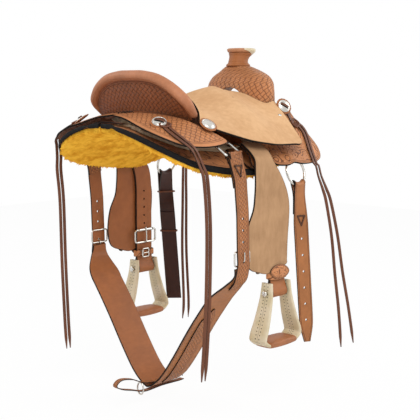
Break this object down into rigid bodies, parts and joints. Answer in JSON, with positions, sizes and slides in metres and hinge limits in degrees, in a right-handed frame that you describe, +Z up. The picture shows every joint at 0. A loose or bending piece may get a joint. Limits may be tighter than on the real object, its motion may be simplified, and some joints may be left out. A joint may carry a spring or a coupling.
{
  "type": "western saddle",
  "caption": "Wade ranch saddle: tree with slick fork, horn and rolled cantle, tooled skirts, fenders, rawhide stirrups, rigging and flank cinch.",
  "frame": {"origin": "centre plane of the saddle, at the height of the horse's spine under the middle of the seat", "axes": "+X towards the horse's head, +Y towards the horse's left (near) side, +Z up"},
  "size_m": [0.7206, 0.6118, 0.9493],
  "materials": {
    "tooled_leather": "satin, stamped",
    "plain_leather": "satin",
    "seat_suede": "rough-out",
    "fender_suede": "rough-out",
    "dark_leather": "oiled",
    "string_leather": "oiled",
    "binding": "black, satin",
    "fleece": "curly pile",
    "rawhide": "dry, hard",
    "nickel": "polished nickel silver",
    "tree_wood": "rawhide-covered wood"
  },
  "bodies": {
    "saddle": {"cantle_back": "tooled_leather", "cantle_roll": "plain_leather", "concho_front_left": "nickel", "concho_front_right": "nickel", "concho_middle_left": "nickel", "concho_middle_right": "nickel", "concho_rear_left": "nickel", "concho_rear_right": "nickel", "fleece_left": "fleece", "fleece_right": "fleece", "fork_cover": "tooled_leather", "ground_seat": "dark_leather", "horn_cap": "tooled_leather", "horn_core": "tree_wood", "horn_wrap": "tooled_leather", "lace_front_left": "string_leather", "lace_front_right": "string_leather", "lace_rear_left": "string_leather", "lace_rear_right": "string_leather", "rear_dee_left": "nickel", "rear_dee_right": "nickel", "rear_jockey_left": "tooled_leather", "rear_jockey_right": "tooled_leather", "rigging_plate_left": "tooled_leather", "rigging_plate_right": "tooled_leather", "seat": "seat_suede", "skirt_binding_left": "binding", "skirt_binding_right": "binding", "skirt_left": "tooled_leather", "skirt_right": "tooled_leather", "tree_bar_left": "tree_wood", "tree_bar_right": "tree_wood", "tree_cantle": "tree_wood", "tree_fork": "tree_wood"},
    "fender_left": {"fender_left": "fender_suede", "stirrup_leather_left": "plain_leather", "leather_buckle_left": "nickel", "hobble_left": "tooled_leather"},
    "stirrup_left": {"stirrup_left": "rawhide", "stirrup_tread_left": "plain_leather", "stirrup_bolt_left": "nickel"},
    "front_ring_left": {"front_ring_left": "nickel"},
    "latigo": {"latigo": "dark_leather"},
    "fender_right": {"fender_right": "fender_suede", "stirrup_leather_right": "plain_leather", "leather_buckle_right": "nickel", "hobble_right": "tooled_leather"},
    "stirrup_right": {"stirrup_right": "rawhide", "stirrup_tread_right": "plain_leather", "stirrup_bolt_right": "nickel"},
    "front_ring_right": {"front_ring_right": "nickel"},
    "off_billet": {"off_billet": "tooled_leather"},
    "flank_set": {"flank_billet_left": "tooled_leather", "flank_billet_right": "tooled_leather", "flank_buckle_left": "nickel", "flank_buckle_right": "nickel", "flank_cinch": "tooled_leather", "connector_strap": "tooled_leather"},
    "flank_tongue_left": {"flank_tongue_left": "nickel"},
    "flank_tongue_right": {"flank_tongue_right": "nickel"}
  },
  "joints": [
    {"name": "fender_swing_left", "type": "hinge", "parent": "saddle", "child": "fender_left", "pos_m": [-0.0165, 0.2658, -0.072], "axis": [0, 1, 0], "range_deg": [-20, 10], "deforming": ["stirrup_leather_left"]},
    {"name": "stirrup_swing_left", "type": "hinge", "parent": "fender_left", "child": "stirrup_left", "pos_m": [0.05, 0.2607, -0.432], "axis": [1, 0, 0], "range_deg": [-25, 40]},
    {"name": "front_ring_swing_left", "type": "hinge", "parent": "saddle", "child": "front_ring_left", "pos_m": [0.143, 0.24073, -0.07697], "axis": [1, 0, 0], "range_deg": [0, 22]},
    {"name": "latigo_swing", "type": "hinge", "parent": "front_ring_left", "child": "latigo", "pos_m": [0.143, 0.2512, -0.1135], "axis": [0, 1, 0], "range_deg": [-12, 15], "deforming": ["latigo"]},
    {"name": "fender_swing_right", "type": "hinge", "parent": "saddle", "child": "fender_right", "pos_m": [-0.0165, -0.2658, -0.072], "axis": [0, 1, 0], "range_deg": [-20, 10], "deforming": ["stirrup_leather_right"]},
    {"name": "stirrup_swing_right", "type": "hinge", "parent": "fender_right", "child": "stirrup_right", "pos_m": [0.05, -0.2607, -0.432], "axis": [-1, 0, 0], "range_deg": [-25, 40]},
    {"name": "front_ring_swing_right", "type": "hinge", "parent": "saddle", "child": "front_ring_right", "pos_m": [0.143, -0.24073, -0.07697], "axis": [-1, 0, 0], "range_deg": [0, 22]},
    {"name": "off_billet_swing", "type": "hinge", "parent": "front_ring_right", "child": "off_billet", "pos_m": [0.143, -0.2512, -0.1135], "axis": [0, 1, 0], "range_deg": [-12, 15], "deforming": ["off_billet"]},
    {"name": "flank_swing", "type": "hinge", "parent": "saddle", "child": "flank_set", "pos_m": [-0.15, 0, -0.05], "axis": [0, 1, 0], "range_deg": [-4, 7], "deforming": ["flank_billet_left", "flank_billet_right"]},
    {"name": "flank_tongue_swing_left", "type": "hinge", "parent": "flank_set", "child": "flank_tongue_left", "pos_m": [-0.113, 0.27755, -0.3365], "axis": [-1, 0, 0], "range_deg": [0, 60]},
    {"name": "flank_tongue_swing_right", "type": "hinge", "parent": "flank_set", "child": "flank_tongue_right", "pos_m": [-0.113, -0.27755, -0.3365], "axis": [1, 0, 0], "range_deg": [0, 60]}
  ]
}
